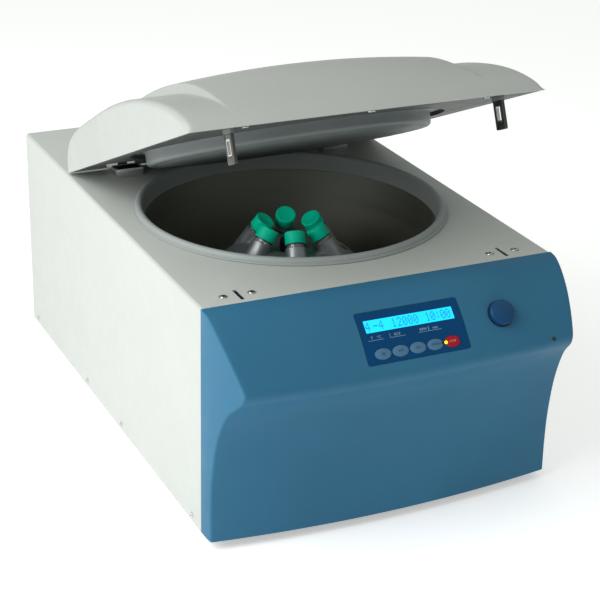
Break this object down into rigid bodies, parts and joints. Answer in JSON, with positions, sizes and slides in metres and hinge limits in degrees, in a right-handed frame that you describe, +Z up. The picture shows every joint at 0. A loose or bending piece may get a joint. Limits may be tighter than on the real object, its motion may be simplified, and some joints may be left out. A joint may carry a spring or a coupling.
{
  "type": "laboratory centrifuge",
  "caption": "Benchtop refrigerated centrifuge: sheet-metal case, bowed blue control panel, hinged lid shown open and a fixed-angle rotor with capped tubes in a steel bowl.",
  "frame": {"origin": "middle of the bounding box's underside, on the surface that the feet stand on", "axes": "+Z up, -Y towards the control panel, +X to the right as the user faces the panel"},
  "size_m": [0.43, 0.7191, 0.4784],
  "materials": {
    "case_paint": "fine satin powder coat",
    "lid_skin": "satin moulded plastic",
    "panel_skin": "satin moulded plastic",
    "keypad_film": "smooth printed film",
    "key_caps": "satin film",
    "stop_key": "satin film",
    "display_window": "lit window",
    "knob_plastic": "semi-gloss",
    "black_plastic": "satin",
    "rubber": "matt",
    "zinc_steel": "zinc plated",
    "stainless": "brushed",
    "block_aluminium": "machined",
    "seal_rubber": "matt light grey",
    "liner_plastic": "satin moulded plastic",
    "foam": "moulded foam",
    "motor_enamel": "enamel",
    "rotor_alloy": "grey anodised",
    "clear_tube": "clear",
    "cap_green": "satin",
    "circuit_board": "solder mask",
    "condenser_fins": "plain fins"
  },
  "bodies": {
    "case": {"base_plate": "zinc_steel", "bowl": "stainless", "bowl_seal": "seal_rubber", "compressor": "motor_enamel", "condenser": "condenser_fins", "control_board": "circuit_board", "damper_1": "rubber", "damper_2": "rubber", "damper_3": "rubber", "display": "display_window", "foot_front_left": "rubber", "foot_front_right": "rubber", "foot_rear_left": "rubber", "foot_rear_right": "rubber", "front_panel": "panel_skin", "hinge_block_left": "block_aluminium", "hinge_block_right": "block_aluminium", "hinge_rod": "stainless", "housing": "case_paint", "insulation": "foam", "keypad": "keypad_film", "lock_body_left": "zinc_steel", "lock_body_right": "zinc_steel", "motor": "motor_enamel", "motor_mount": "zinc_steel", "power_inlet": "black_plastic", "rear_panel": "case_paint", "temperature_probe": "stainless"},
    "lid": {"lid_cover": "lid_skin", "lid_liner": "liner_plastic", "lid_disc": "liner_plastic", "striker_left": "stainless", "striker_right": "stainless", "hinge_arm_left": "zinc_steel", "hinge_arm_right": "zinc_steel"},
    "rotor": {"rotor": "rotor_alloy", "rotor_nut": "black_plastic", "spindle": "stainless", "tube_1": "clear_tube", "tube_2": "clear_tube", "tube_3": "clear_tube", "tube_4": "clear_tube", "tube_5": "clear_tube", "tube_6": "clear_tube"},
    "cap_1": {"tube_cap_1": "cap_green"},
    "cap_2": {"tube_cap_2": "cap_green"},
    "cap_3": {"tube_cap_3": "cap_green"},
    "cap_4": {"tube_cap_4": "cap_green"},
    "cap_5": {"tube_cap_5": "cap_green"},
    "cap_6": {"tube_cap_6": "cap_green"},
    "knob": {"knob": "knob_plastic"},
    "button_1": {"button_1": "key_caps"},
    "button_2": {"button_2": "key_caps"},
    "button_3": {"button_3": "key_caps"},
    "button_4": {"button_4": "key_caps"},
    "button_stop": {"button_stop": "stop_key"},
    "lock_bolt_left": {"lock_bolt_left": "stainless"},
    "lock_bolt_right": {"lock_bolt_right": "stainless"},
    "power_switch": {"power_switch": "black_plastic"},
    "condenser_fan": {"condenser_fan": "black_plastic"}
  },
  "joints": [
    {"name": "lid_hinge", "type": "hinge", "parent": "case", "child": "lid", "pos_m": [0, 0.17575, 0.298], "axis": [-1, 0, 0], "range_deg": [-23.4, 50]},
    {"name": "rotor_spin", "type": "hinge", "parent": "case", "child": "rotor", "pos_m": [0, -0.02905, 0.222], "axis": [0, 0, 1], "continuous": true},
    {"name": "cap_1_unscrew", "type": "hinge", "parent": "rotor", "child": "cap_1", "pos_m": [0.03477, -0.01973, 0.254], "axis": [-0.554, -0.1485, 0.8192], "range_deg": [0, 540]},
    {"name": "cap_2_unscrew", "type": "hinge", "parent": "rotor", "child": "cap_2", "pos_m": [0.00932, 0.00572, 0.254], "axis": [-0.1485, -0.554, 0.8192], "range_deg": [0, 540]},
    {"name": "cap_3_unscrew", "type": "hinge", "parent": "rotor", "child": "cap_3", "pos_m": [-0.02546, -0.00359, 0.254], "axis": [0.4056, -0.4056, 0.8192], "range_deg": [0, 540]},
    {"name": "cap_4_unscrew", "type": "hinge", "parent": "rotor", "child": "cap_4", "pos_m": [-0.03477, -0.03837, 0.254], "axis": [0.554, 0.1485, 0.8192], "range_deg": [0, 540]},
    {"name": "cap_5_unscrew", "type": "hinge", "parent": "rotor", "child": "cap_5", "pos_m": [-0.00932, -0.06382, 0.254], "axis": [0.1485, 0.554, 0.8192], "range_deg": [0, 540]},
    {"name": "cap_6_unscrew", "type": "hinge", "parent": "rotor", "child": "cap_6", "pos_m": [0.02546, -0.05451, 0.254], "axis": [-0.4056, 0.4056, 0.8192], "range_deg": [0, 540]},
    {"name": "knob_turn", "type": "hinge", "parent": "case", "child": "knob", "pos_m": [0.1164, -0.33187, 0.24535], "axis": [-0.0001, -0.7331, 0.6801], "continuous": true},
    {"name": "press_button_1", "type": "slide", "parent": "case", "child": "button_1", "axis": [0, 0.7731, -0.6343], "range_m": [0, 0.0008], "stiffness_N_per_m": 600},
    {"name": "press_button_2", "type": "slide", "parent": "case", "child": "button_2", "axis": [0, 0.773, -0.6344], "range_m": [0, 0.0008], "stiffness_N_per_m": 600},
    {"name": "press_button_3", "type": "slide", "parent": "case", "child": "button_3", "axis": [0, 0.773, -0.6344], "range_m": [0, 0.0008], "stiffness_N_per_m": 600},
    {"name": "press_button_4", "type": "slide", "parent": "case", "child": "button_4", "axis": [0, 0.7731, -0.6343], "range_m": [0, 0.0008], "stiffness_N_per_m": 600},
    {"name": "press_button_stop", "type": "slide", "parent": "case", "child": "button_stop", "axis": [-0.0001, 0.7732, -0.6341], "range_m": [0, 0.0008], "stiffness_N_per_m": 600},
    {"name": "lock_left_slide", "type": "slide", "parent": "case", "child": "lock_bolt_left", "axis": [-1, 0, 0], "range_m": [0, 0.01]},
    {"name": "lock_right_slide", "type": "slide", "parent": "case", "child": "lock_bolt_right", "axis": [1, 0, 0], "range_m": [0, 0.01]},
    {"name": "power_switch_rock", "type": "hinge", "parent": "case", "child": "power_switch", "pos_m": [-0.15, 0.35295, 0.062], "axis": [1, 0, 0], "range_deg": [0, 8]},
    {"name": "condenser_fan_spin", "type": "hinge", "parent": "case", "child": "condenser_fan", "pos_m": [0.105, 0.29795, 0.107], "axis": [0, 1, 0], "continuous": true}
  ],
  "couplings": [
    {"joint": "lock_right_slide", "follows": "lock_left_slide", "ratio": 1}
  ]
}
